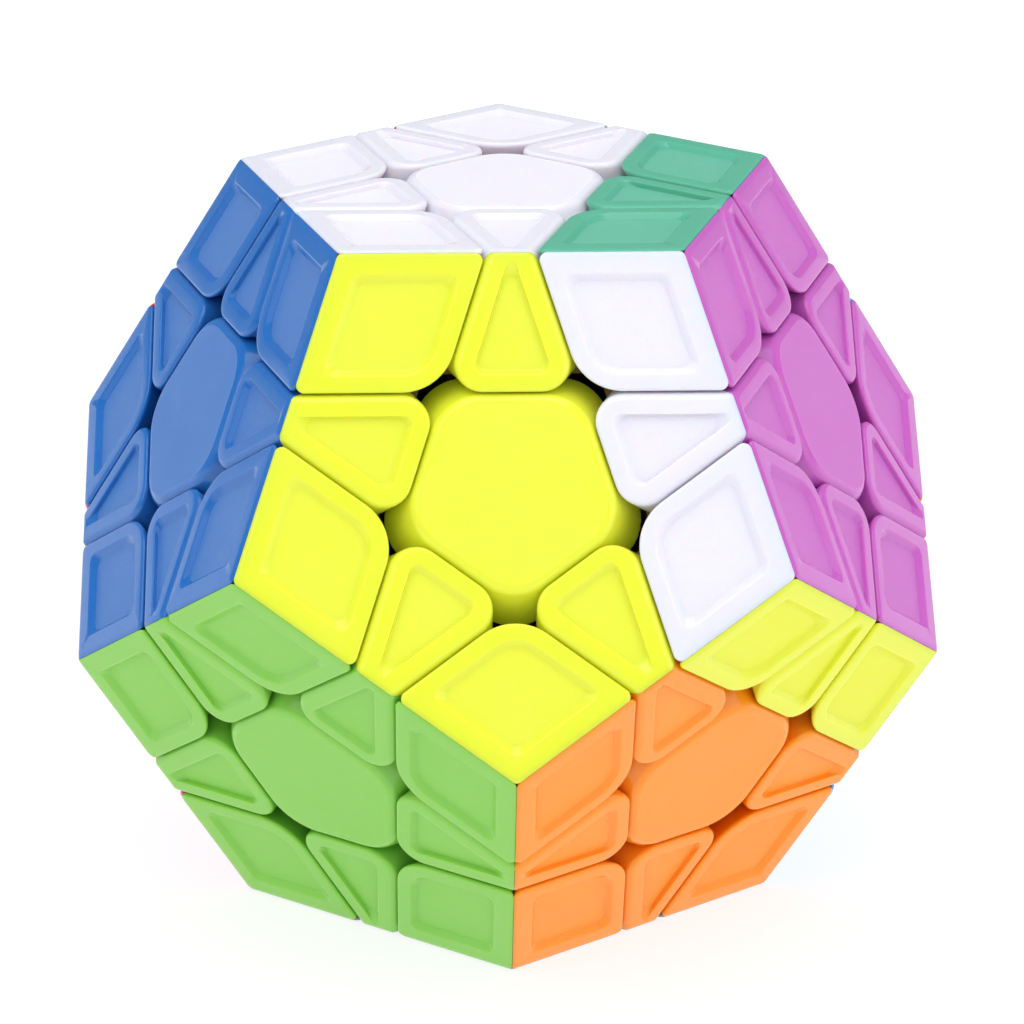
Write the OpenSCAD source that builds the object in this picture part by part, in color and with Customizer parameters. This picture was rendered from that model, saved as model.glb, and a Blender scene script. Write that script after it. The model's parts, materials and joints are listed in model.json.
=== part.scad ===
// Twelve-sided twisty puzzle. Each face is a layer of eleven pieces, one centre, five edges and
// five corners, that turns about the face's own axis. The twelve axes meet at the middle of the
// core, which is the origin. +Z points out of the white face, and the puzzle rests on the grey one.

/* [Overall] */
// Distance between two opposite faces
across_faces = 66.8; // [60:0.2:72]
// Depth of a turning layer below its face
layer_depth = 11.2; // [10.8:0.1:11.4]
// Width of the gap between neighbouring pieces
gap = 0.2; // [0.1:0.05:0.3]

/* [Coloured shells] */
// Depth of a coloured shell, down to the inner piece it snaps on
shell = 4.4; // [2:0.2:4.6]
// Joint between a shell and the piece it snaps on
seam = 0.06; // [0.04:0.01:0.1]
// Width of the raised border around a sunk panel
rim = 1.9; // [1.6:0.1:2.4]
// Depth of a sunk panel
recess = 0.5; // [0.3:0.1:1]
// Radius of a corner tile's inner corner
corner_round = 4.8; // [2:0.2:5]
// Radius of an edge tile's two inner corners
edge_round = 2.4; // [1:0.1:2.6]
// Radius of a centre's five corners
centre_round = 4; // [1:0.5:5]

/* [Core and screws] */
// Radius of the core's ball
core_r = 9; // [7:0.5:9.5]
// Radius of a screw post
post_r = 3.2; // [2.6:0.1:3.4]
// Radius of a screw's shank
screw_r = 1.25; // [1:0.05:1.4]
// Radius of a screw's head
head_r = 2.5; // [2.2:0.1:2.6]
// Radius of a centre's stem
stem_r = 4.2; // [3.8:0.1:4.2]
// Radius of the spring pocket inside a stem
pocket_r = 2.8; // [2.7:0.1:3]

/* [Springs] */
// Radius of a spring, to the middle of its wire
coil_r = 2.1; // [1.9:0.1:2.2]
// Radius of the wire
wire_r = 0.28; // [0.2:0.02:0.32]
// Number of turns
coil_turns = 4; // [3:1:5]

/* [Hidden] */
// Angle between the axes of two neighbouring faces
between = acos(1 / sqrt(5));
half = across_faces / 2;
cut = half - layer_depth;
size = half / 33.4;
far = 2 * half;
// A layer's lower side is flat outside neck_r, a cone of 43 degrees inside it, and a wider cone
// of 49.5 degrees inside foot_r, where the feet hook under their neighbours. A centre is left a
// cone of 20 degrees between the layers of its five neighbours.
neck_r = cut / cos(43);
centre_cone = 20;
foot_r = 21.1 * size;
foot_floor = 17.95 * size;
floor_z = 11.3 * size;
post_z = 11 * size;
spring_z = 13.6 * size;
head_z = 19 * size;
// A step of 1 along a face moves this far square to a neighbour's cut plane.
slope = sin(between);
// How far a rounding of radius 1 cuts back a 108 degree and a 72 degree corner
blunt_108 = 1 / sin(54) - 1;
blunt_72 = 1 / sin(36) - 1;
$fn = 48;

FACES = ["up", "front", "right", "back_right", "back_left", "left",
         "low_left", "low_right", "low_back_right", "low_back", "low_back_left", "down"];
COLOURS = ["white", "yellow", "mediumorchid", "seagreen", "crimson", "royalblue",
           "yellowgreen", "darkorange", "skyblue", "cornsilk", "hotpink", "gray"];
UP = 0;
RIGHT = 2;
DOWN = 11;
// The right layer stands one step round, so its tiles carry the colour of the face before.
BEFORE = [[0, 3], [1, 0], [7, 1], [8, 7], [3, 8]];

function on_ring(azimuth, height) =
    [cos(azimuth) * cos(height), sin(azimuth) * cos(height), sin(height)];
tilt = 90 - between;
function axis(i) =
    i == UP ? [0, 0, 1] :
    i == DOWN ? [0, 0, -1] :
    i < 6 ? on_ring(-90 + 72 * (i - 1), tilt) : on_ring(-126 + 72 * (i - 6), -tilt);
function near(i, j) = i != j && axis(i) * axis(j) > 0.4;
function around(i) = [for (j = [0:11]) if (near(i, j)) j];
function unit(v) = v / norm(v);
function ends(i, j) = [for (k = [0:11]) if (near(i, k) && near(j, k)) k];

EDGES = [for (i = [0:11]) for (j = around(i)) if (j > i) [i, j]];
CORNERS = [for (e = EDGES) for (k = ends(e[0], e[1])) if (k > e[1]) [e[0], e[1], k]];
// The corner that shares a node with an edge of two low faces
function low_pair(e) = e[0] > 5 && e[1] < DOWN;
function edge_name(e) =
    str(low_pair(e) ? "edge_and_corner_" : "edge_", FACES[e[0]], "_", FACES[e[1]]);
function corner_name(c) = str("corner_", FACES[c[0]], "_", FACES[c[1]], "_", FACES[c[2]]);
function own_corner(c) = c[2] < DOWN;

// The colour of the tile on face i of a piece that belongs to these faces
function tile_colour(i, faces) =
    let (turned = len(search(RIGHT, faces)) > 0 && i != RIGHT)
    COLOURS[turned ? BEFORE[search(i, BEFORE)[0]][1] : i];

module toward(v)
    rotate([0, acos(v.z / norm(v)), atan2(v.y, v.x)]) children();

// The room between two parallel planes: the points p with low <= p * v <= high
module slab(v, low, high)
    toward(v)
        translate([-far, -far, low / norm(v)])
            cube([2 * far, 2 * far, (high - low) / norm(v)]);

module solid_of(slabs)
    intersection_for(s = slabs) slab(s[0], s[1], s[2]);

// Slabs that keep a solid inside layer i, or out of it
function inside(i, inset = 0, high = far) = [axis(i), cut + gap / 2 + inset * slope, high];
function outside(i, inset = 0) = [axis(i), -far, cut - gap / 2 - inset * slope];

// Slabs that blunt the corners between two cut planes
function blunt_inside(i, j, radius, inset) =
    [axis(i) + axis(j),
     2 * (cut + gap / 2 + inset * slope + sin(54) * slope * blunt_108 * radius), 2 * far];
function blunt_outside(i, j, radius, inset) =
    [axis(i) + axis(j),
     -far, 2 * (cut - gap / 2 - inset * slope - sin(54) * slope * blunt_108 * radius)];
function blunt_across(i, k, radius, inset) =
    [axis(i) - axis(k), gap + 2 * inset * slope + 2 * sin(36) * slope * blunt_72 * radius, far];

// The slab on tile i's side of the seam with tile j
function own_side(i, j, inset) = [axis(i) - axis(j), seam / 2 + inset * slope, far];

// A tile's outline as slabs: on the layers of the faces in own, off the layers in others
function corner_outline(own, inset) =
    [inside(own[0], inset), inside(own[1], inset),
     blunt_inside(own[0], own[1], corner_round, inset)];
function edge_outline(j, others, inset) =
    [inside(j, inset), outside(others[0], inset), outside(others[1], inset),
     blunt_across(j, others[0], edge_round, inset),
     blunt_across(j, others[1], edge_round, inset)];
function centre_outline(i, inset) = concat(
    [for (j = around(i)) outside(j, inset)],
    [for (e = EDGES) if (near(i, e[0]) && near(i, e[1]))
        blunt_outside(e[0], e[1], centre_round, inset)]
);

module shell_on(i, seams, outline, sunk_outline)
    difference() {
        solid_of(concat([[axis(i), half - shell, half]], [for (j = seams) own_side(i, j, 0)],
                        outline));
        solid_of(concat([[axis(i), half - recess, half + 1]],
                        [for (j = seams) own_side(i, j, rim)], sunk_outline));
    }

// --- Corner: three coloured shells on an inner piece with a neck and a round foot ---

module corner_shell(i, j, k, c)
    color(tile_colour(i, c))
        shell_on(i, [j, k], corner_outline([j, k], 0), corner_outline([j, k], rim));

module corner_inner(c) {
    top = half - shell - seam;
    color("dimgray") union() {
        solid_of(concat(
            [for (i = c) inside(i, 0, top)],
            [blunt_inside(c[0], c[1], corner_round, 0),
             blunt_inside(c[1], c[2], corner_round, 0),
             blunt_inside(c[0], c[2], corner_round, 0)]
        ));
        toward(axis(c[0]) + axis(c[1]) + axis(c[2])) {
            translate([0, 0, foot_floor + 2]) cylinder(r = 1.9 * size, h = neck_r - foot_floor - 2);
            translate([0, 0, foot_floor]) cylinder(r = 3.5 * size, h = 2.8 * size);
        }
    }
}

module corner(c) {
    corner_shell(c[0], c[1], c[2], c);
    corner_shell(c[1], c[0], c[2], c);
    corner_shell(c[2], c[0], c[1], c);
    corner_inner(c);
}

// --- Edge: two coloured shells on an inner piece with a neck and a flat foot ---

module edge_shell(i, j, others, e)
    color(tile_colour(i, e))
        shell_on(i, [j], edge_outline(j, others, 0), edge_outline(j, others, rim));

module edge_inner(e, others) {
    out = unit(axis(e[0]) + axis(e[1]));
    along = unit(cross(axis(e[0]), axis(e[1])));
    across = cross(out, along);
    top = half - shell - seam;
    color("dimgray") union() {
        solid_of(concat(
            [[out, neck_r + 0.1, far], inside(e[0], 0, top), inside(e[1], 0, top)],
            [for (k = others) outside(k)],
            [for (i = e) for (k = others) blunt_across(i, k, edge_round, 0)]
        ));
        solid_of([[out, cut, neck_r + 0.3], inside(e[0], 0, top), inside(e[1], 0, top),
                  [along, -6.6 * size, 6.6 * size]]);
        solid_of([[out, foot_r + 0.2, 29 * size], [along, -5.5 * size, 5.5 * size],
                  [across, -3.2 * size, 3.2 * size]]);
        solid_of([[out, 20 * size, foot_r + 1], [along, -2.4 * size, 2.4 * size],
                  [across, -3.1 * size, 3.1 * size]]);
        solid_of([[out, foot_floor, 20.4 * size], [along, -2.4 * size, 2.4 * size],
                  [across, -4.6 * size, 4.6 * size]]);
    }
}

module edge(e) {
    others = ends(e[0], e[1]);
    edge_shell(e[0], e[1], others, e);
    edge_shell(e[1], e[0], others, e);
    edge_inner(e, others);
    if (low_pair(e)) corner([e[0], e[1], DOWN]);
}

// --- Centre: a coloured cap on a base whose stem holds the spring and turns on the screw ---

module centre_base(i) {
    top = half - shell - seam;
    bottom = foot_r + 0.2;
    color("dimgray") difference() {
        union() {
            intersection() {
                toward(axis(i)) translate([0, 0, bottom])
                    cylinder(r1 = bottom * tan(centre_cone), r2 = top * tan(centre_cone),
                             h = top - bottom);
                solid_of([for (j = around(i)) outside(j)]);
            }
            toward(axis(i)) translate([0, 0, floor_z]) cylinder(r = stem_r, h = head_z - floor_z + 4);
        }
        toward(axis(i)) {
            translate([0, 0, spring_z - 0.1]) cylinder(r = pocket_r, h = half);
            cylinder(r = screw_r + 0.1, h = half);
        }
    }
}

module centre(i) {
    color(COLOURS[i]) solid_of(concat([[axis(i), half - shell, half]], centre_outline(i, 0)));
    centre_base(i);
}

// --- Core, screws and springs ---

module core()
    color("dimgray") difference() {
        union() {
            sphere(r = core_r);
            for (i = [0:11])
                toward(axis(i)) translate([0, 0, post_z / 2]) cylinder(r = post_r, h = post_z / 2);
        }
        for (i = [0:11])
            toward(axis(i)) translate([0, 0, post_z / 2 - 0.5])
                cylinder(r = screw_r + 0.05, h = post_z);
    }

module screw() {
    head_h = 1.8;
    difference() {
        union() {
            translate([0, 0, post_z / 2]) cylinder(r = screw_r, h = head_z - post_z / 2 + 0.5);
            translate([0, 0, head_z]) cylinder(r = head_r, h = head_h);
        }
        for (turn = [0, 90]) rotate([0, 0, turn])
            translate([-head_r * 0.6, -0.3, head_z + head_h - 0.9]) cube([head_r * 1.2, 0.6, 1]);
    }
}

module screws()
    color("silver") for (i = [0:11]) toward(axis(i)) screw();

module spring() {
    steps = 8;
    sides = 4;
    rise = head_z - spring_z - 2 * wire_r - 0.3;
    rings = steps * coil_turns;
    points = [
        for (s = [0:rings]) let (turn = 360 * s / steps, z = spring_z + wire_r + 0.1 + rise * s / rings)
            for (w = [0:sides - 1]) let (a = 360 * w / sides, r = coil_r + wire_r * cos(a))
                [r * cos(turn), r * sin(turn), z + wire_r * sin(a)]
    ];
    walls = [
        for (s = [0:rings - 1]) for (w = [0:sides - 1])
            let (a = s * sides + w, b = s * sides + (w + 1) % sides)
                [a, a + sides, b + sides, b]
    ];
    first = [for (w = [0:sides - 1]) w];
    last = [for (w = [sides - 1:-1:0]) rings * sides + w];
    polyhedron(points, concat(walls, [first, last]), convexity = 10);
}

module springs()
    color("lightgray") for (i = [0:11]) toward(axis(i)) spring();

core();
screws();
springs();
for (i = [0:11])
    centre(i);
for (e = EDGES)
    edge(e);
for (c = CORNERS) if (own_corner(c))
    corner(c);
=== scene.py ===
"""Twelve-sided twisty puzzle: coloured tile shells, inner pieces, core, screws and springs."""

import json
import math

import bmesh
import bpy
from bpy.props import FloatProperty, FloatVectorProperty, IntProperty, PointerProperty
from mathutils import Matrix, Vector


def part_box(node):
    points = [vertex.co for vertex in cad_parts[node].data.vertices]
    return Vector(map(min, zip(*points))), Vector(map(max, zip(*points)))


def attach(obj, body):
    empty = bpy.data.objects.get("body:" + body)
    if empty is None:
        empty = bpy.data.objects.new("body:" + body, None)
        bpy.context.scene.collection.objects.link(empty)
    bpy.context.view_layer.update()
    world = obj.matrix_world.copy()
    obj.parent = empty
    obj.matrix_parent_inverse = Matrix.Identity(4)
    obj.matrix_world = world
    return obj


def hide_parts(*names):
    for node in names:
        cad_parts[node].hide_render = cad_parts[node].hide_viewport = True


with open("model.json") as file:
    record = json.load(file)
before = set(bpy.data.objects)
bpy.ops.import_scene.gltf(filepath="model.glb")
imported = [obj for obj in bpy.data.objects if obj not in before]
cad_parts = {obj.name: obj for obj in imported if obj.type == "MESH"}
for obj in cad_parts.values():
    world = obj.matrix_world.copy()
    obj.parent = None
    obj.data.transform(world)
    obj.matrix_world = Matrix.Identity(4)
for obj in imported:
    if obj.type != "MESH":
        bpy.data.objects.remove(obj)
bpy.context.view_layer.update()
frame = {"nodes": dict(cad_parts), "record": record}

bl_info = {
    "name": "Twelve-sided twisty puzzle",
    "version": (1, 0, 0),
    "blender": (4, 5, 0),
    "location": "3D View > Sidebar > Puzzle",
    "description": "Makes the shells, inner pieces and metal parts of a twelve-sided puzzle",
    "category": "Add Mesh",
}

MM = 0.001
# Half the distance between opposite faces
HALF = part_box("centre_up")[1].z
# The angle between the axes of neighbouring faces, and its cosine and sine
BETWEEN = math.acos(1 / math.sqrt(5))
ALONG, SQUARE = math.cos(BETWEEN), math.sin(BETWEEN)
# A face turns onto itself by this angle.
STEP = math.radians(72)
WHITE = (1, 1, 1)
# Radius of the narrow end of an edge's panel, and half the width of that end
PANEL_TIP = 0.4 * MM
HALF_TIP = 0.33 * MM
# Glossy strip between a cap's satin top and its fillet
CAP_STRIP = 0.1 * MM
# Share of the tip rounding that a tile's corners keep outside the border
LEAST_TIP = 0.3
# Steps along the round parts of a tile's outline and of its profile
CORNER_STEPS, EDGE_STEPS, CENTRE_STEPS, TIP_STEPS = 14, 9, 10, 5
WALL_STEPS, FILLET_STEPS, CAP_STEPS = 8, 6, 7
# Edges bent more than this are shaded sharp, and inner edges bent more than this are bevelled.
SHARP_BEND = math.radians(50)
BEVEL_BEND = math.radians(35)
# Triangles of a CAD solid that are this close to one plane are one flat face.
FLAT_BEND = math.radians(0.5)
# Points of a CAD solid that are this close are one point.
SAME_POINT = 1e-6
# Nothing but an inner piece reaches this close to the middle of the puzzle.
INNER_REACH = 24 * MM

FACES = ("up", "front", "right", "back_right", "back_left", "left",
         "low_left", "low_right", "low_back_right", "low_back", "low_back_left", "down")
COLOUR_OF = dict(zip(FACES, ("white", "yellow", "purple", "green", "red", "blue",
                             "lime", "orange", "sky", "cream", "pink", "grey")))
# The right layer stands one step round, so its tiles show the colour of the face before.
TURNED = "right"
BEFORE = {"front": "up", "low_right": "front", "low_back_right": "low_right",
          "back_right": "low_back_right", "up": "back_right"}

BODY_OF = {node: body for body, nodes in frame["record"]["behaviour"]["bodies"].items()
           for node in nodes}


def face_axis(name):
    """The direction that a face looks in."""
    if name in ("up", "down"):
        return Vector((0, 0, 1 if name == "up" else -1))
    # Five faces stand round the top. Five stand round the bottom, half a step on.
    place = FACES.index(name)
    steps, side = (place - 1, 1) if place < 6 else (place - 6.5, -1)
    azimuth = steps * STEP - math.pi / 2
    return Vector((math.cos(azimuth) * SQUARE, math.sin(azimuth) * SQUARE, side * ALONG))


AXES = {name: face_axis(name) for name in FACES}


def near(one, other):
    """Whether two faces share an edge."""
    return math.isclose(AXES[one].dot(AXES[other]), ALONG, abs_tol=0.01)


EDGES = {f"edge_{a}_{b}": (a, b) for i, a in enumerate(FACES) for b in FACES[i + 1:]
         if near(a, b)}
CORNERS = {f"corner_{a}_{b}_{c}": (a, b, c) for a, b in EDGES.values()
           for c in FACES[FACES.index(b) + 1:] if near(a, c) and near(b, c)}
PIECES = {**EDGES, **CORNERS}


def node_of(piece):
    """The CAD node that holds a piece. The five lowest corners share one with an edge."""
    faces = PIECES[piece]
    low_pair = all(f.startswith("low") for f in faces[:2])
    if low_pair and (len(faces) == 2 or faces[2] == "down"):
        return "edge_and_corner_" + "_".join(faces[:2])
    return piece


def tile_colour(face, faces):
    """The colour of the tile on a face of the piece that belongs to these faces."""
    if TURNED in faces and face != TURNED:
        return COLOUR_OF[BEFORE[face]]
    return COLOUR_OF[face]


# --- What a user would change ---

def length(name, description, default, low, high):
    """A size with its default and limits in millimetres."""
    return FloatProperty(name=name, description=description, default=default * MM, min=low * MM,
                         max=high * MM, unit="LENGTH", subtype="DISTANCE", precision=5)


def colour(name, *default):
    """A plastic's colour."""
    return FloatVectorProperty(name=name, description=f"Colour of the {name.lower()} plastic",
                               default=default, min=0, max=1, size=3, subtype="COLOR")


class TileSizes(bpy.types.PropertyGroup):
    """Sizes of the tiles, as moulded."""
    layer: length("Layer depth", "Depth of a turning layer below its face", 11.2, 10.8, 11.4)
    gap: length("Gap", "Width of the gap between pieces", 0.2, 0.1, 0.3)
    skirt: length("Skirt", "Depth of a coloured shell", 4.4, 2, 4.6)
    seam: length("Seam", "Half the width of the joint between two shells", 0.02, 0.01, 0.1)
    rim: length("Border", "Width of the raised border round a sunk panel", 1.55, 1.4, 2.4)
    seam_rim: length("Seam border", "Width of the border along a seam", 1.9, 1.4, 2.4)
    recess: length("Recess", "Depth of a sunk panel", 0.5, 0.3, 1)
    wall: length("Panel wall", "Width of the sloping wall round a panel", 0.42, 0.3, 0.9)
    fillet: length("Fillet", "Radius along the cut sides of a tile", 0.5, 0.2, 0.9)
    ridge: length("Ridge", "Radius of the edge where two coloured faces meet", 1.0, 0.1, 1.5)
    chamfer: length("Chamfer", "Chamfer along a shell's hidden lower edge", 0.15, 0.05, 0.4)
    cap_fillet: length("Cap fillet", "Radius round the top of a centre", 0.55, 0.3, 1.4)
    corner_round: length("Corner rounding", "Radius of a corner's inner corner", 4.8, 2, 5)
    edge_round: length("Edge rounding", "Radius of an edge's inner corners", 2.4, 1, 2.6)
    centre_round: length("Centre rounding", "Radius of a centre's corners", 4.5, 1, 5)
    tip_round: length("Tip rounding", "Radius of a tile's sharp tips", 0.6, 0.1, 0.8)
    panel_round: length("Panel rounding", "Least radius of a panel's corners", 0.8, 0.2, 1)
    bevel: length("Inner bevel", "Bevel along the inner pieces' edges", 0.25, 0.05, 0.4)


class PuzzleColours(bpy.types.PropertyGroup):
    """Colours of the moulded plastics."""
    white: colour("White", 0.78, 0.765, 0.86)
    yellow: colour("Yellow", 0.79, 0.84, 0.04)
    purple: colour("Purple", 0.55, 0.12, 0.53)
    green: colour("Green", 0.10, 0.45, 0.31)
    red: colour("Red", 0.62, 0.025, 0.03)
    blue: colour("Blue", 0.012, 0.15, 0.50)
    lime: colour("Lime", 0.24, 0.60, 0.075)
    orange: colour("Orange", 1.0, 0.30, 0.006)
    sky: colour("Sky", 0.10, 0.46, 0.82)
    cream: colour("Cream", 0.88, 0.78, 0.42)
    pink: colour("Pink", 0.90, 0.26, 0.44)
    grey: colour("Grey", 0.28, 0.29, 0.31)
    inner: colour("Inner", 0.26, 0.16, 0.085)


class HardwareSizes(bpy.types.PropertyGroup):
    """Sizes of the screws and springs."""
    shank: length("Shank", "Radius of a screw's shank", 1.1, 0.8, 1.2)
    head: length("Head", "Radius of a screw's head", 2.5, 2.2, 2.6)
    head_height: length("Head height", "Height of a screw's head", 1.8, 1.2, 2)
    screw_start: length("Screw tip", "Distance of a screw's tip from the middle", 5.5, 5, 7)
    head_start: length("Under the head", "Distance of a screw's head from the middle", 19, 18, 20)
    pitch: length("Thread pitch", "Rise of one turn of the thread", 0.7, 0.5, 1)
    coil: length("Coil", "Radius of a spring, to the middle of its wire", 2.1, 1.9, 2.2)
    wire: length("Wire", "Radius of a spring's wire", 0.28, 0.2, 0.32)
    spring_start: length("Spring's foot", "Distance of a spring from the middle", 13.98, 13, 15)
    spring_rise: length("Spring height", "Height of a spring", 4.5, 3, 5)
    turns: IntProperty(name="Turns", description="Number of turns of a spring", default=4,
                       min=3, max=6)


# --- Node trees ---

def node_in(tree, kind, links=(), values=(), **settings):
    """A new node with its settings, and its inputs' sources and values by name or number."""
    node = tree.nodes.new(kind)
    for key, value in settings.items():
        setattr(node, key, value)
    for key, value in dict(values).items():
        node.inputs[key].default_value = value
    for key, source in dict(links).items():
        tree.links.new(source, node.inputs[key])
    return node


def maths_in(tree, operation, one, other, **settings):
    """The result of an operation on two values, each a number or a node's output."""
    node = node_in(tree, "ShaderNodeMath", operation=operation, **settings)
    for socket, value in zip(node.inputs, (one, other)):
        if isinstance(value, (int, float)):
            socket.default_value = value
        else:
            tree.links.new(value, socket)
    return node.outputs[0]


def new_group(name, inputs, output, kind="NodeSocketFloat"):
    """A shader node group with (name, default, low, high) inputs and one output."""
    tree = bpy.data.node_groups.new(name, "ShaderNodeTree")
    for label, default, low, high in inputs:
        of = "NodeSocketColor" if isinstance(default, tuple) else "NodeSocketFloat"
        socket = tree.interface.new_socket(label, in_out="INPUT", socket_type=of)
        socket.default_value = default
        if of == "NodeSocketFloat":
            socket.min_value, socket.max_value = low, high
    tree.interface.new_socket(output, in_out="OUTPUT", socket_type=kind)
    given = tree.nodes.new("NodeGroupInput")
    made = tree.nodes.new("NodeGroupOutput")
    return tree, given.outputs, made.inputs[output]


def built_once(build):
    """Build a shader node group at its first use, and give the same one afterwards."""
    def group():
        name = build.__name__
        if name not in bpy.data.node_groups:
            build(name)
        return bpy.data.node_groups[name]
    return group


@built_once
def handling_wear(name):
    """Roughness that varies as on handled plastic: broad finger smudges and hair scratches."""
    tree, given, made = new_group(
        name,
        [("Roughness", 0.2, 0, 1), ("Smudge", 0.05, 0, 1), ("Scratch", 0.1, 0, 1),
         ("Smudge Scale", 160.0, 0, 1e5), ("Scratch Scale", 700.0, 0, 1e5)],
        "Roughness",
    )
    place = node_in(tree, "ShaderNodeTexCoord").outputs["Object"]
    smudge = node_in(tree, "ShaderNodeTexNoise",
                     {"Vector": place, "Scale": given["Smudge Scale"]},
                     {"Detail": 3.0, "Roughness": 0.6})
    centred = maths_in(tree, "SUBTRACT", smudge.outputs["Fac"], 0.5)
    smudged = maths_in(tree, "MULTIPLY", centred, given["Smudge"])
    stretch = node_in(tree, "ShaderNodeMapping", {"Vector": place},
                      {"Rotation": (0.6, 0.9, 0.4), "Scale": (1.0, 0.04, 0.6)})
    hairs = node_in(tree, "ShaderNodeTexNoise",
                    {"Vector": stretch.outputs[0], "Scale": given["Scratch Scale"]},
                    {"Detail": 2.0, "Distortion": 0.4})
    thin = node_in(tree, "ShaderNodeMapRange", {"Value": hairs.outputs["Fac"]},
                   {"From Min": 0.66, "From Max": 0.72})
    scratched = maths_in(tree, "MULTIPLY", thin.outputs[0], given["Scratch"])
    base = maths_in(tree, "ADD", given["Roughness"], smudged)
    tree.links.new(maths_in(tree, "ADD", base, scratched, use_clamp=True), made)


@built_once
def moulded_grain(name):
    """Height of a moulded skin: fine spark-eroded grain over a slight waviness."""
    tree, given, made = new_group(
        name,
        [("Grain", 1.0, 0, 10), ("Waviness", 1.0, 0, 10), ("Grain Scale", 5000.0, 0, 1e5),
         ("Wave Scale", 220.0, 0, 1e5)],
        "Height",
    )
    place = node_in(tree, "ShaderNodeTexCoord").outputs["Object"]
    heights = []
    for share, scale, detail in (("Grain", "Grain Scale", 3.0), ("Waviness", "Wave Scale", 1.0)):
        noise = node_in(tree, "ShaderNodeTexNoise", {"Vector": place, "Scale": given[scale]},
                        {"Detail": detail})
        heights.append(maths_in(tree, "MULTIPLY", noise.outputs["Fac"], given[share]))
    tree.links.new(maths_in(tree, "ADD", *heights), made)


@built_once
def pigment(name):
    """A moulding's colour, with the slight clouding of pigment that flowed into the mould."""
    tree, given, made = new_group(
        name,
        [("Pure", (0.5, 0.5, 0.5, 1.0), 0, 1), ("Clouded", (0.5, 0.5, 0.5, 1.0), 0, 1),
         ("Cloud Scale", 120.0, 0, 1e5)],
        "Color", "NodeSocketColor",
    )
    place = node_in(tree, "ShaderNodeTexCoord").outputs["Object"]
    cloud = node_in(tree, "ShaderNodeTexNoise",
                    {"Vector": place, "Scale": given["Cloud Scale"]},
                    {"Detail": 4.0, "Roughness": 0.55})
    spread = node_in(tree, "ShaderNodeMapRange", {"Value": cloud.outputs["Fac"]},
                     {"From Min": 0.35, "From Max": 0.65})
    # Inputs 6 and 7 and output 2 are the colours of a Mix node.
    mix = node_in(tree, "ShaderNodeMix",
                  {"Factor": spread.outputs[0], 6: given["Pure"], 7: given["Clouded"]},
                  data_type="RGBA")
    tree.links.new(mix.outputs[2], made)


def plastic(name, shade, clouded, rough, grain, waviness, smudge, scratch, bump, **sockets):
    """A moulded plastic. sockets are constant values of the Principled BSDF's own inputs."""
    if name in bpy.data.materials:
        return bpy.data.materials[name]
    material = bpy.data.materials.new(name)
    material.use_nodes = True
    material.diffuse_color = (*shade, 1)
    tree = material.node_tree
    link = tree.links.new
    shader = tree.nodes["Principled BSDF"]
    for key, value in sockets.items():
        shader.inputs[key.replace("_", " ").title().replace("Ior", "IOR")].default_value = value

    dye = node_in(tree, "ShaderNodeGroup", node_tree=pigment(),
                  values={"Pure": (*shade, 1), "Clouded": (*clouded, 1)})
    wear = node_in(tree, "ShaderNodeGroup", node_tree=handling_wear(),
                   values={"Roughness": rough, "Smudge": smudge, "Scratch": scratch})
    skin = node_in(tree, "ShaderNodeGroup", node_tree=moulded_grain(),
                   values={"Grain": grain, "Waviness": waviness})
    relief = node_in(tree, "ShaderNodeBump", {"Height": skin.outputs["Height"]},
                     {"Strength": bump, "Distance": 0.02 * MM})
    link(dye.outputs["Color"], shader.inputs["Base Color"])
    link(wear.outputs["Roughness"], shader.inputs["Roughness"])
    link(relief.outputs["Normal"], shader.inputs["Normal"])
    return material


def toward(shade, target, share):
    """A colour that is moved a share of the way towards another."""
    return tuple(s + (t - s) * share for s, t in zip(shade, target))


def brightness(shade):
    """How bright a colour looks, from 0 to 1."""
    return 0.21 * shade[0] + 0.72 * shade[1] + 0.07 * shade[2]


def translucence(shade):
    """Light wanders some millimetres in a pale plastic and less in a dark one, red furthest."""
    return {"subsurface_weight": 0.5, "subsurface_radius": (1.0, 0.45, 0.2),
            "subsurface_scale": (0.4 + 2.4 * brightness(shade)) * MM}


def gloss_of(name):
    """The polished plastic of a tile's border, fillets and sides."""
    shade = getattr(bpy.context.scene.puzzle_colours, name)
    return plastic(f"gloss_{name}", shade, toward(shade, WHITE, 0.012), rough=0.16, grain=0.15,
                   waviness=1.0, smudge=0.06, scratch=0.1, bump=0.5, **translucence(shade))


def satin_of(name):
    """The frosted plastic of a sunk panel or a centre's top: a rougher skin on the same dye.

    Its colour is moved towards white as a painted sheen, standing for the frosted skin's
    reflection of the white surroundings; this shows most on dark dyes.
    """
    shade = getattr(bpy.context.scene.puzzle_colours, name)
    # Painted sheen: the colour is lightened towards white, most on dark dyes, for the reflection
    # of the surroundings in the frosted skin.
    painted_sheen = 0.06 * (1 - brightness(shade)) ** 1.5
    shade = toward(shade, WHITE, painted_sheen)
    return plastic(f"satin_{name}", shade, toward(shade, WHITE, 0.015), rough=0.46, grain=1.6,
                   waviness=0.6, smudge=0.08, scratch=0.05, bump=0.9, specular_ior_level=0.36,
                   **translucence(shade))


def inner_plastic():
    """The plain plastic of the core and the footed inner pieces."""
    shade = bpy.context.scene.puzzle_colours.inner
    return plastic("inner_plastic", shade, toward(shade, (0.3, 0.3, 0.3), 0.06), rough=0.38,
                   grain=1.2, waviness=0.8, smudge=0.12, scratch=0.18, bump=0.8)


def metal(name, shade, rough):
    """A plated or drawn steel."""
    return plastic(name, shade, toward(shade, (0.2, 0.2, 0.2), 0.15), rough=rough, grain=1.0,
                   waviness=0.4, smudge=0.15, scratch=0.25, bump=0.7, metallic=1.0)


# --- Tiles ---

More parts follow.
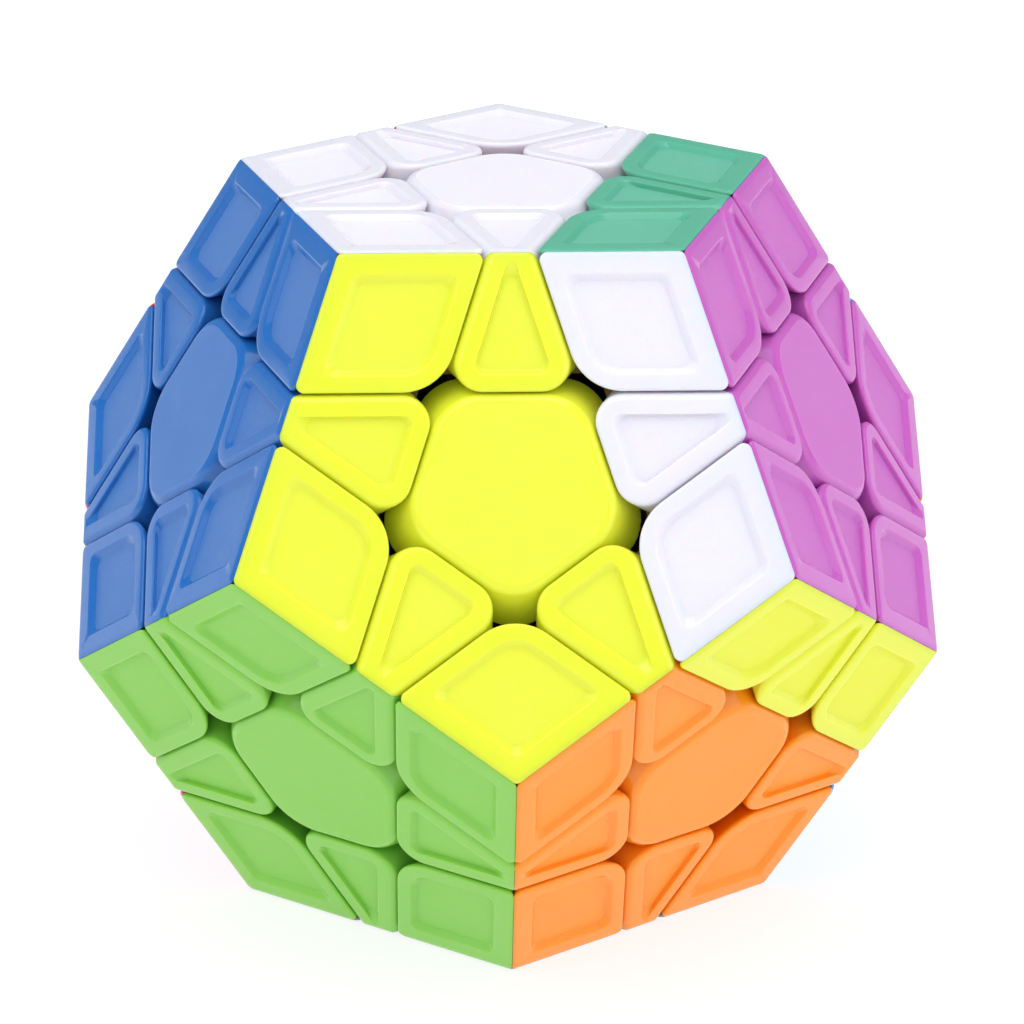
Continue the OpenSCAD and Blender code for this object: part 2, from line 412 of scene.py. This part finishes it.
class Side:
    """One side of a tile's outline: the points p of the face's plane with p.square <= reach.

    drift is how much reach grows per metre of depth below the face. kind says how the profile
    treats the side: "cut" where the neighbour is another piece, "mitre" where it is the next
    shell of the same piece.
    """

    def __init__(self, kind, square, reach, drift):
        self.kind, self.square, self.reach, self.drift = kind, square, reach, drift
        self.turn = math.atan2(square.y, square.x)


def plane_of(face):
    """Two directions along a face's plane, turning anticlockwise seen from outside."""
    first = AXES[face].orthogonal().normalized()
    return first, AXES[face].cross(first)


def direction(face, neighbour):
    """The direction from a face's middle to a neighbour, in the face's plane."""
    first, second = plane_of(face)
    return Vector((AXES[neighbour].dot(first), AXES[neighbour].dot(second))).normalized()


def cut_side(sizes, face, neighbour, within):
    """The side on a neighbour's cut plane, for a tile within or beyond that neighbour's layer."""
    reach = (HALF - sizes.layer - ALONG * HALF) / SQUARE
    half_gap = sizes.gap / 2 / SQUARE
    drift = ALONG / SQUARE
    square = direction(face, neighbour)
    if within:
        return Side("cut", -square, -reach - half_gap, -drift)
    return Side("cut", square, reach - half_gap, drift)


def mitre_side(sizes, face, neighbour):
    """The side on the seam with the tile on the neighbouring face."""
    drift = (1 - ALONG) / SQUARE
    return Side("mitre", direction(face, neighbour), HALF * drift - sizes.seam, -drift)


def around(sides):
    """The sides in their order round the tile."""
    return sorted(sides, key=lambda s: s.turn)


def ring(sides, row, radii, steps):
    """One closed ring of points of the tile: (x, y, depth) for a row of the profile.

    row gives each kind of side its (inset, depth), and radii and steps the rounding of the
    corner after each side.
    """
    points = []
    for k, one in enumerate(sides):
        other = sides[(k + 1) % len(sides)]
        (inset, depth), (inset_2, depth_2) = row[one.kind], row[other.kind]
        reach = one.reach + one.drift * depth - inset
        reach_2 = other.reach + other.drift * depth_2 - inset_2
        turn = (other.turn - one.turn) % (2 * math.pi)
        meet = (one.square * reach + other.square * reach_2
                - (one.square * reach_2 + other.square * reach) * math.cos(turn))
        meet /= math.sin(turn) ** 2
        radius = radii[k]
        middle = meet - (one.square + other.square) * radius / (1 + math.cos(turn))
        for s in range(steps[k] + 1):
            share = s / steps[k]
            aim = one.turn + turn * share
            spot = middle + Vector((math.cos(aim), math.sin(aim))) * radius
            points.append((spot.x, spot.y, depth + (depth_2 - depth) * share))
    return points


def loft(name, face, rings, colour_name):
    """A closed shell through the rings, from its satin floor out over the rim and down."""
    first, second = plane_of(face)
    axis = AXES[face]
    count = len(rings[0])
    points = [first * x + second * y + axis * (HALF - depth) for r in rings for x, y, depth in r]
    walls = [(k * count + i, (k + 1) * count + i, (k + 1) * count + (i + 1) % count,
              k * count + (i + 1) % count)
             for k in range(len(rings) - 1) for i in range(count)]
    floor = tuple(range(count))
    bottom = tuple(range(len(points) - 1, len(points) - count - 1, -1))
    mesh = bpy.data.meshes.new(name)
    mesh.from_pydata(points, [], [floor, *walls, bottom])
    mesh.materials.append(gloss_of(colour_name))
    mesh.materials.append(satin_of(colour_name))
    # The floor and the first walls round it are satin.
    for polygon in mesh.polygons[:1 + count]:
        polygon.material_index = 1
    return finished(name, mesh)


def finished(name, mesh):
    """An object for a mesh, shaded so that flats look flat and fillets look round."""
    mesh.shade_smooth()
    mesh.set_sharp_from_angle(angle=SHARP_BEND)
    piece = bpy.data.objects.new(name, mesh)
    bpy.context.scene.collection.objects.link(piece)
    shading = piece.modifiers.new("even_shading", "WEIGHTED_NORMAL")
    shading.mode, shading.weight, shading.keep_sharp = "FACE_AREA_WITH_ANGLE", 100, True
    return piece


def arc(radius, steps):
    """(inset, depth) along a quarter round, from the flat top to the side."""
    return [(radius * (1 - math.sin(a)), radius * (1 - math.cos(a)))
            for a in (math.pi / 2 * k / steps for k in range(steps + 1))]


def ridge(radius, steps):
    """(inset, depth) along half the round of an edge between two faces, up to the seam."""
    half_bend = BETWEEN / 2
    return [(radius * (math.tan(half_bend) * math.cos(a) - math.sin(a)),
             radius * (1 - math.cos(a)))
            for a in (half_bend * k / steps for k in range(steps + 1))]


def profile(sizes, tip_inset=None):
    """Rows of a sunk tile, from its panel's floor up an S-shaped wall and down to its lower edge.

    tip_inset gives the inset from the mitre for a panel wall's inset from the cuts, where the
    panel ends in a tip and doesn't follow the mitre.
    """
    tip_inset = tip_inset or (lambda inset: inset + sizes.seam_rim - sizes.rim)
    rows = []
    for k in range(WALL_STEPS + 1):
        share = 1 - k / WALL_STEPS
        inset = sizes.rim + sizes.wall * share
        depth = sizes.recess * share * share * (3 - 2 * share)
        rows.append({"cut": (inset, depth), "mitre": (tip_inset(inset), depth)})
    for cut, mitre in zip(arc(sizes.fillet, FILLET_STEPS), ridge(sizes.ridge, FILLET_STEPS)):
        rows.append({"cut": cut, "mitre": mitre})
    for depth in (0.5 * sizes.skirt, sizes.skirt - sizes.chamfer):
        rows.append({"cut": (0, depth), "mitre": (0, depth)})
    rows.append({"cut": (sizes.chamfer, sizes.skirt), "mitre": (sizes.chamfer, sizes.skirt)})
    return rows


def rounded(sizes, row, round_0, least_panel):
    """The rounding of one corner in a row: concentric, but never under the least radius."""
    inset = row["cut"][0]
    least = least_panel if inset >= sizes.rim else LEAST_TIP * sizes.tip_round
    return max(round_0 - inset, least)


def sunk_tile(sizes, name, face, faces, sides, rounds, steps, rows):
    """A tile whose corner after each side has (its radius, the least radius of its panel)."""
    rings = [ring(sides, row, [rounded(sizes, row, *r) for r in rounds], steps) for row in rows]
    return loft(name, face, rings, tile_colour(face, faces))


def corner_tile(sizes, name, face, faces):
    """A rhombus with a well rounded inner corner."""
    others = [f for f in faces if f != face]
    sides = around([cut_side(sizes, face, f, True) for f in others]
                   + [mitre_side(sizes, face, f) for f in others])
    rounds, steps = [], []
    for k, side in enumerate(sides):
        inner = side.kind == "cut" and sides[(k + 1) % 4].kind == "cut"
        rounds.append((sizes.corner_round if inner else sizes.tip_round, sizes.panel_round))
        steps.append(CORNER_STEPS if inner else TIP_STEPS)
    return sunk_tile(sizes, name, face, faces, sides, rounds, steps, profile(sizes))


def edge_tile(sizes, name, face, faces):
    """A trapezium, wide towards the centre, with a three-cornered panel."""
    other = next(f for f in faces if f != face)
    ends = [f for f in FACES if near(f, face) and near(f, other)]
    inner = cut_side(sizes, face, other, True)
    outer = mitre_side(sizes, face, other)
    flanks = [cut_side(sizes, face, f, False) for f in ends]
    sides = around([inner, outer, *flanks])
    rounds, steps = [], []
    for k, side in enumerate(sides):
        wide = inner in (side, sides[(k + 1) % 4])
        rounds.append((sizes.edge_round, sizes.panel_round) if wide
                      else (sizes.tip_round, PANEL_TIP))
        steps.append(EDGE_STEPS if wide else TIP_STEPS)

    def tip_inset(inset):
        """The inset from the mitre at which the flanks come to twice HALF_TIP apart."""
        across, out = math.sin(STEP), math.cos(STEP)
        return outer.reach - (flanks[0].reach - inset - HALF_TIP * across) / out

    rows = profile(sizes, tip_inset)
    return sunk_tile(sizes, name, face, faces, sides, rounds, steps, rows)


def centre_cap(sizes, name, face):
    """A flat-topped cap with five round corners and flanks that slope outwards."""
    sides = around([cut_side(sizes, face, f, False) for f in FACES if near(f, face)])
    rows = [{"cut": (sizes.cap_fillet + CAP_STRIP, 0)}]
    rows += [{"cut": row} for row in arc(sizes.cap_fillet, CAP_STEPS)]
    rows += [{"cut": (0, depth)} for depth in (0.5 * sizes.skirt, sizes.skirt - sizes.chamfer)]
    rows.append({"cut": (sizes.chamfer, sizes.skirt)})
    rings = [ring(sides, row, [sizes.centre_round - row["cut"][0]] * 5, [CENTRE_STEPS] * 5)
             for row in rows]
    return loft(name, face, rings, COLOUR_OF[face])


# --- Inner pieces, from the CAD solids ---

def solids_of(node):
    """The separate solids of a CAD node, each as (points, faces) with its doubles merged."""
    whole = bmesh.new()
    whole.from_mesh(frame["nodes"][node].data)
    bmesh.ops.remove_doubles(whole, verts=whole.verts, dist=SAME_POINT)
    whole.verts.index_update()
    # The first vertex of the solid that each vertex belongs to
    first_of = {}
    for first in whole.verts:
        waiting = [] if first.index in first_of else [first]
        while waiting:
            vertex = waiting.pop()
            first_of[vertex.index] = first.index
            for edge in vertex.link_edges:
                other = edge.other_vert(vertex)
                if other.index not in first_of:
                    waiting.append(other)
    solids = []
    for first in sorted(set(first_of.values())):
        own = [vertex for vertex in whole.verts if first_of[vertex.index] == first]
        number = {vertex.index: i for i, vertex in enumerate(own)}
        faces = [[number[vertex.index] for vertex in face.verts]
                 for face in whole.faces if face.verts[0].index in number]
        solids.append(([vertex.co.copy() for vertex in own], faces))
    whole.free()
    return solids


def moulded(sizes, name, solid, material):
    """A solid with softened edges, as a moulding or a casting has."""
    points, faces = solid
    mesh = bpy.data.meshes.new(name)
    mesh.from_pydata(points, [], faces)
    tidy = bmesh.new()
    tidy.from_mesh(mesh)
    bmesh.ops.dissolve_limit(tidy, angle_limit=FLAT_BEND, verts=tidy.verts, edges=tidy.edges)
    bmesh.ops.recalc_face_normals(tidy, faces=tidy.faces)
    tidy.to_mesh(mesh)
    tidy.free()
    mesh.materials.append(material)
    piece = finished(name, mesh)
    soft = piece.modifiers.new("soft_edges", "BEVEL")
    soft.width, soft.segments, soft.limit_method = sizes.bevel, 2, "ANGLE"
    soft.angle_limit = BEVEL_BEND
    # The bevel comes before the shading.
    piece.modifiers.move(1, 0)
    return piece


def inner_solid(node, aim):
    """The solid of a node that reaches inwards along a direction."""
    def lean(solid):
        middle = sum(solid[0], Vector()) / len(solid[0])
        return middle.normalized().dot(aim)
    inward = [s for s in solids_of(node) if min(p.length for p in s[0]) < INNER_REACH]
    return max(inward, key=lean)


def placed(piece, node, slot):
    """Let a piece ride on its node's body and stand for the node. The slot is not used."""
    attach(piece, BODY_OF[node])
    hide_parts(node)


# --- Screws and springs, as geometry nodes ---

class Tree:
    """A geometry node tree with named inputs, under construction."""

    def __init__(self, name):
        self.tree = bpy.data.node_groups.new(name, "GeometryNodeTree")
        face = self.tree.interface
        face.new_socket("Geometry", in_out="INPUT", socket_type="NodeSocketGeometry")
        face.new_socket("Geometry", in_out="OUTPUT", socket_type="NodeSocketGeometry")
        self.values = {}
        self.given = self.tree.nodes.new("NodeGroupInput")
        self.made = self.tree.nodes.new("NodeGroupOutput")

    def input(self, name, value):
        kind = "NodeSocketInt" if isinstance(value, int) else "NodeSocketFloat"
        socket = self.tree.interface.new_socket(name, in_out="INPUT", socket_type=kind)
        self.values[socket.identifier] = value
        return self.given.outputs[name]

    def add(self, kind, links=(), values=(), **settings):
        return node_in(self.tree, kind, links, values, **settings)

    def maths(self, operation, one, other):
        return maths_in(self.tree, operation, one, other)

    def raised(self, geometry, height):
        """The geometry, moved up by a height."""
        lift = self.add("ShaderNodeCombineXYZ", {"Z": height})
        return self.add("GeometryNodeTransform",
                        {"Geometry": geometry, "Translation": lift.outputs[0]}).outputs[0]

    def coil(self, radius, rise, turns, wire, sides, steps):
        """A wire wound round Z from the origin up."""
        spiral = self.add("GeometryNodeCurveSpiral",
                          {"Start Radius": radius, "End Radius": radius, "Height": rise,
                           "Rotations": turns}, {"Resolution": steps})
        section = self.add("GeometryNodeCurvePrimitiveCircle", {"Radius": wire},
                           {"Resolution": sides})
        swept = self.add("GeometryNodeCurveToMesh",
                         {"Curve": spiral.outputs[0], "Profile Curve": section.outputs[0]},
                         {"Fill Caps": True})
        return swept.outputs[0]

    def finish_on_axes(self, geometry, material):
        """One copy on each point of the modified mesh, aimed away from the origin."""
        points = self.add("GeometryNodeMeshToPoints", {"Mesh": self.given.outputs["Geometry"]})
        aim = self.add("FunctionNodeAlignRotationToVector",
                       {"Vector": self.add("GeometryNodeInputPosition").outputs[0]}, axis="Z")
        stored = self.add("GeometryNodeStoreNamedAttribute",
                          {"Geometry": points.outputs[0], "Value": aim.outputs[0]},
                          {"Name": "aim"}, data_type="QUATERNION", domain="POINT")
        middle = self.add("ShaderNodeCombineXYZ")
        at_middle = self.add("GeometryNodeSetPosition",
                             {"Geometry": stored.outputs[0], "Position": middle.outputs[0]})
        kept = self.add("GeometryNodeInputNamedAttribute", values={"Name": "aim"},
                        data_type="QUATERNION")
        copies = self.add("GeometryNodeInstanceOnPoints",
                          {"Points": at_middle.outputs[0], "Instance": geometry,
                           "Rotation": kept.outputs[0]})
        real = self.add("GeometryNodeRealizeInstances", {"Geometry": copies.outputs[0]})
        coat = self.add("GeometryNodeSetMaterial", {"Geometry": real.outputs[0]},
                        {"Material": material})
        self.tree.links.new(coat.outputs[0], self.made.inputs[0])


def made_by(tree, name):
    """The plain mesh that a tree makes from twelve points, one out along each axis."""
    seeds = bpy.data.meshes.new(name + "_seeds")
    seeds.from_pydata([AXES[f] * HALF for f in FACES], [], [])
    holder = bpy.data.objects.new(name + "_seeds", seeds)
    bpy.context.scene.collection.objects.link(holder)
    modifier = holder.modifiers.new(name, "NODES")
    modifier.node_group = tree.tree
    for identifier, value in tree.values.items():
        modifier[identifier] = value
    graph = bpy.context.evaluated_depsgraph_get()
    mesh = bpy.data.meshes.new_from_object(holder.evaluated_get(graph), depsgraph=graph)
    mesh.name = name
    bpy.data.objects.remove(holder)
    bpy.data.meshes.remove(seeds)
    return finished(name, mesh)


def screw_tree(sizes, material):
    """A cross-headed screw: shank, rolled thread, and a head with a cross cut into it."""
    tree = Tree("cross_head_screw")
    shank, head = tree.input("Shank Radius", sizes.shank), tree.input("Head Radius", sizes.head)
    high = tree.input("Head Height", sizes.head_height)
    start, seat = tree.input("Tip", sizes.screw_start), tree.input("Seat", sizes.head_start)
    pitch = tree.input("Thread Pitch", sizes.pitch)
    grip = tree.maths("SUBTRACT", seat, start)
    bar = tree.add("GeometryNodeMeshCylinder", {"Radius": shank, "Depth": grip},
                   {"Vertices": 24})
    halfway = tree.maths("ADD", start, tree.maths("MULTIPLY", grip, 0.5))
    bar = tree.raised(bar.outputs["Mesh"], halfway)
    cut_length = tree.maths("MULTIPLY", grip, 0.42)
    thread = tree.coil(shank, cut_length, tree.maths("DIVIDE", cut_length, pitch),
                       tree.maths("MULTIPLY", shank, 0.13), 5, 14)
    thread = tree.raised(thread, start)
    cap = tree.add("GeometryNodeMeshCylinder", {"Radius": head, "Depth": high},
                   {"Vertices": 32})
    middle = tree.maths("ADD", seat, tree.maths("MULTIPLY", high, 0.5))
    cap = tree.raised(cap.outputs["Mesh"], middle)
    top = tree.maths("ADD", seat, high)
    slots = []
    wide, thin = tree.maths("MULTIPLY", head, 1.2), tree.maths("MULTIPLY", head, 0.24)
    for x, y in ((wide, thin), (thin, wide)):
        size = tree.add("ShaderNodeCombineXYZ", {"X": x, "Y": y, "Z": high})
        slot = tree.add("GeometryNodeMeshCube", {"Size": size.outputs[0]})
        slots.append(tree.raised(slot.outputs["Mesh"], top))
    cut = tree.add("GeometryNodeMeshBoolean", {"Mesh 1": cap}, operation="DIFFERENCE")
    for slot in slots:
        tree.tree.links.new(slot, cut.inputs["Mesh 2"])
    whole = tree.add("GeometryNodeJoinGeometry")
    for part in (bar, thread, cut.outputs[0]):
        tree.tree.links.new(part, whole.inputs[0])
    tree.finish_on_axes(whole.outputs[0], material)
    return tree


def spring_tree(sizes, material):
    """A compression spring that stands on the floor of each centre's stem."""
    tree = Tree("compression_spring")
    coil, wire = tree.input("Coil Radius", sizes.coil), tree.input("Wire Radius", sizes.wire)
    rise, start = tree.input("Height", sizes.spring_rise), tree.input("Foot", sizes.spring_start)
    turns = tree.input("Turns", sizes.turns)
    wound = tree.coil(coil, rise, turns, wire, 8, 24)
    tree.finish_on_axes(tree.raised(wound, start), material)
    return tree


# --- Stage ---

def make_floor():
    """A wide pale floor under the puzzle, lit a little from within like a product table."""
    reach = 6.0
    mesh = bpy.data.meshes.new("floor")
    mesh.from_pydata([(x * reach, y * reach, -HALF)
                      for x, y in ((-1, -1), (1, -1), (1, 1), (-1, 1))], [], [(0, 1, 2, 3)])
    material = bpy.data.materials.new("pale_floor")
    material.use_nodes = True
    shader = material.node_tree.nodes["Principled BSDF"]
    for key, value in (("Base Color", (0.25, 0.25, 0.25, 1)), ("Roughness", 0.9),
                       ("Emission Color", (1, 1, 1, 1)), ("Emission Strength", 0.8)):
        shader.inputs[key].default_value = value
    mesh.materials.append(material)
    floor = bpy.data.objects.new("floor", mesh)
    bpy.context.scene.collection.objects.link(floor)


def softbox(name, azimuth, elevation, distance, size, power):
    """A square soft light that faces the puzzle, at angles from the front in degrees."""
    light = bpy.data.lights.new(name, "AREA")
    light.shape, light.size, light.energy = "SQUARE", size, power
    lamp = bpy.data.objects.new(name, light)
    a, e = math.radians(azimuth), math.radians(elevation)
    out = Vector((math.sin(a) * math.cos(e), -math.cos(a) * math.cos(e), math.sin(e)))
    lamp.matrix_world = (Matrix.Translation(out * distance)
                         @ (-out).to_track_quat("-Z", "Y").to_matrix().to_4x4())
    bpy.context.scene.collection.objects.link(lamp)


def make_lights():
    """Three softboxes and an even white surround that hardly shows in polished plastic."""
    softbox("key_left", azimuth=-48, elevation=42, distance=0.75, size=0.55, power=1.0)
    softbox("fill_right", azimuth=62, elevation=20, distance=0.8, size=0.55, power=1.2)
    softbox("overhead", azimuth=0, elevation=84, distance=0.8, size=0.7, power=2.7)
    world = bpy.data.worlds.new("white_surround")
    bpy.context.scene.world = world
    world.use_nodes = True
    tree = world.node_tree
    background = tree.nodes["Background"]
    background.inputs["Color"].default_value = (1, 1, 1, 1)
    ray = node_in(tree, "ShaderNodeLightPath").outputs
    dim = node_in(tree, "ShaderNodeMapRange", {"Value": ray["Is Glossy Ray"]},
                  {"To Min": 0.78, "To Max": 0.2})
    # It is plain white where it is seen directly.
    strength = maths_in(tree, "MAXIMUM", dim.outputs[0], ray["Is Camera Ray"])
    tree.links.new(strength, background.inputs["Strength"])
    bpy.context.scene.view_settings.view_transform = "Standard"


def make_camera():
    """A long lens, a little above the puzzle and square to its front."""
    azimuth, elevation, distance = math.radians(-91.37), math.radians(21.27), 0.434
    camera = bpy.data.cameras.new("camera")
    camera.sensor_width, camera.lens = 36, 164.3
    camera.shift_x, camera.shift_y = 0.0065, 0.0128
    camera.clip_start, camera.clip_end = 0.01, 20
    eye = bpy.data.objects.new("camera", camera)
    out = Vector((math.cos(azimuth) * math.cos(elevation),
                  math.sin(azimuth) * math.cos(elevation), math.sin(elevation)))
    eye.location = out * distance
    eye.rotation_euler = (-out).to_track_quat("-Z", "Y").to_euler()
    bpy.context.scene.collection.objects.link(eye)
    bpy.context.scene.camera = eye


# --- Operators ---

def put_tiles_on(pieces, make_tile, sizes):
    """Make a coloured shell on each face of each of the pieces."""
    for piece, faces in pieces.items():
        for face in faces:
            tile = make_tile(sizes, f"{piece}_tile_{face}", face, faces)
            placed(tile, node_of(piece), "tile_" + tile_colour(face, faces))


class PUZZLE_OT_corner_tiles(bpy.types.Operator):
    """Make the three coloured shells of each of the twenty corners"""
    bl_idname = "puzzle.corner_tiles"
    bl_label = "Corner tiles"

    def execute(self, context):
        put_tiles_on(CORNERS, corner_tile, context.scene.tile_sizes)
        return {"FINISHED"}


class PUZZLE_OT_edge_tiles(bpy.types.Operator):
    """Make the two coloured shells of each of the thirty edges"""
    bl_idname = "puzzle.edge_tiles"
    bl_label = "Edge tiles"

    def execute(self, context):
        put_tiles_on(EDGES, edge_tile, context.scene.tile_sizes)
        return {"FINISHED"}


class PUZZLE_OT_centre_caps(bpy.types.Operator):
    """Make the twelve centre caps"""
    bl_idname = "puzzle.centre_caps"
    bl_label = "Centre caps"

    def execute(self, context):
        for face in FACES:
            cap = centre_cap(context.scene.tile_sizes, f"centre_{face}_cap", face)
            placed(cap, "centre_" + face, "tile_" + COLOUR_OF[face])
        return {"FINISHED"}


class PUZZLE_OT_inner_pieces(bpy.types.Operator):
    """Make the footed inner pieces, the centres' bases and the core from the CAD solids"""
    bl_idname = "puzzle.inner_pieces"
    bl_label = "Inner pieces"

    def execute(self, context):
        sizes = context.scene.tile_sizes
        for piece, faces in PIECES.items():
            aim = sum((AXES[f] for f in faces), Vector()).normalized()
            solid = inner_solid(node_of(piece), aim)
            inner = moulded(sizes, piece + "_inner", solid, inner_plastic())
            placed(inner, node_of(piece), "inner_plastic")
        for face in FACES:
            solid = inner_solid("centre_" + face, AXES[face])
            base = moulded(sizes, f"centre_{face}_base", solid, gloss_of(COLOUR_OF[face]))
            placed(base, "centre_" + face, "tile_" + COLOUR_OF[face])
        ball = moulded(sizes, "core_with_posts", solids_of("core")[0], inner_plastic())
        placed(ball, "core", "inner_plastic")
        return {"FINISHED"}


class PUZZLE_OT_screws(bpy.types.Operator):
    """Make the twelve screws that hold the centres to the core"""
    bl_idname = "puzzle.screws"
    bl_label = "Screws"

    def execute(self, context):
        steel = metal("zinc_plated_steel", (0.62, 0.62, 0.63), 0.28)
        piece = made_by(screw_tree(context.scene.hardware_sizes, steel), "screw_set")
        placed(piece, "screws", "screw_steel")
        return {"FINISHED"}


class PUZZLE_OT_springs(bpy.types.Operator):
    """Make the twelve springs that press the centres inwards"""
    bl_idname = "puzzle.springs"
    bl_label = "Springs"

    def execute(self, context):
        steel = metal("spring_wire", (0.55, 0.55, 0.56), 0.22)
        piece = made_by(spring_tree(context.scene.hardware_sizes, steel), "spring_set")
        placed(piece, "springs", "spring_steel")
        return {"FINISHED"}


class PUZZLE_OT_stage(bpy.types.Operator):
    """Make the floor, the studio lights and the camera"""
    bl_idname = "puzzle.stage"
    bl_label = "Stage"

    def execute(self, context):
        make_floor()
        make_lights()
        make_camera()
        return {"FINISHED"}


class PUZZLE_PT_panel(bpy.types.Panel):
    """Sizes, colours and one button for each group of pieces"""
    bl_idname = "PUZZLE_PT_panel"
    bl_label = "Twisty puzzle"
    bl_space_type = "VIEW_3D"
    bl_region_type = "UI"
    bl_category = "Puzzle"

    def draw(self, context):
        for group in (context.scene.tile_sizes, context.scene.puzzle_colours,
                      context.scene.hardware_sizes):
            box = self.layout.box()
            for key in group.__annotations__:
                box.prop(group, key)
        for operator in OPERATORS:
            self.layout.operator(operator.bl_idname)


OPERATORS = (PUZZLE_OT_corner_tiles, PUZZLE_OT_edge_tiles, PUZZLE_OT_centre_caps,
             PUZZLE_OT_inner_pieces, PUZZLE_OT_screws, PUZZLE_OT_springs, PUZZLE_OT_stage)
CLASSES = (TileSizes, PuzzleColours, HardwareSizes, *OPERATORS, PUZZLE_PT_panel)


def register():
    for cls in CLASSES:
        bpy.utils.register_class(cls)
    bpy.types.Scene.tile_sizes = PointerProperty(type=TileSizes)
    bpy.types.Scene.puzzle_colours = PointerProperty(type=PuzzleColours)
    bpy.types.Scene.hardware_sizes = PointerProperty(type=HardwareSizes)


def unregister():
    del bpy.types.Scene.tile_sizes, bpy.types.Scene.puzzle_colours
    del bpy.types.Scene.hardware_sizes
    for cls in reversed(CLASSES):
        bpy.utils.unregister_class(cls)


def main():
    """Make every piece and the stage."""
    register()
    bpy.ops.puzzle.corner_tiles()
    bpy.ops.puzzle.edge_tiles()
    bpy.ops.puzzle.centre_caps()
    bpy.ops.puzzle.inner_pieces()
    bpy.ops.puzzle.screws()
    bpy.ops.puzzle.springs()
    bpy.ops.puzzle.stage()


if __name__ == "__main__":
    main()
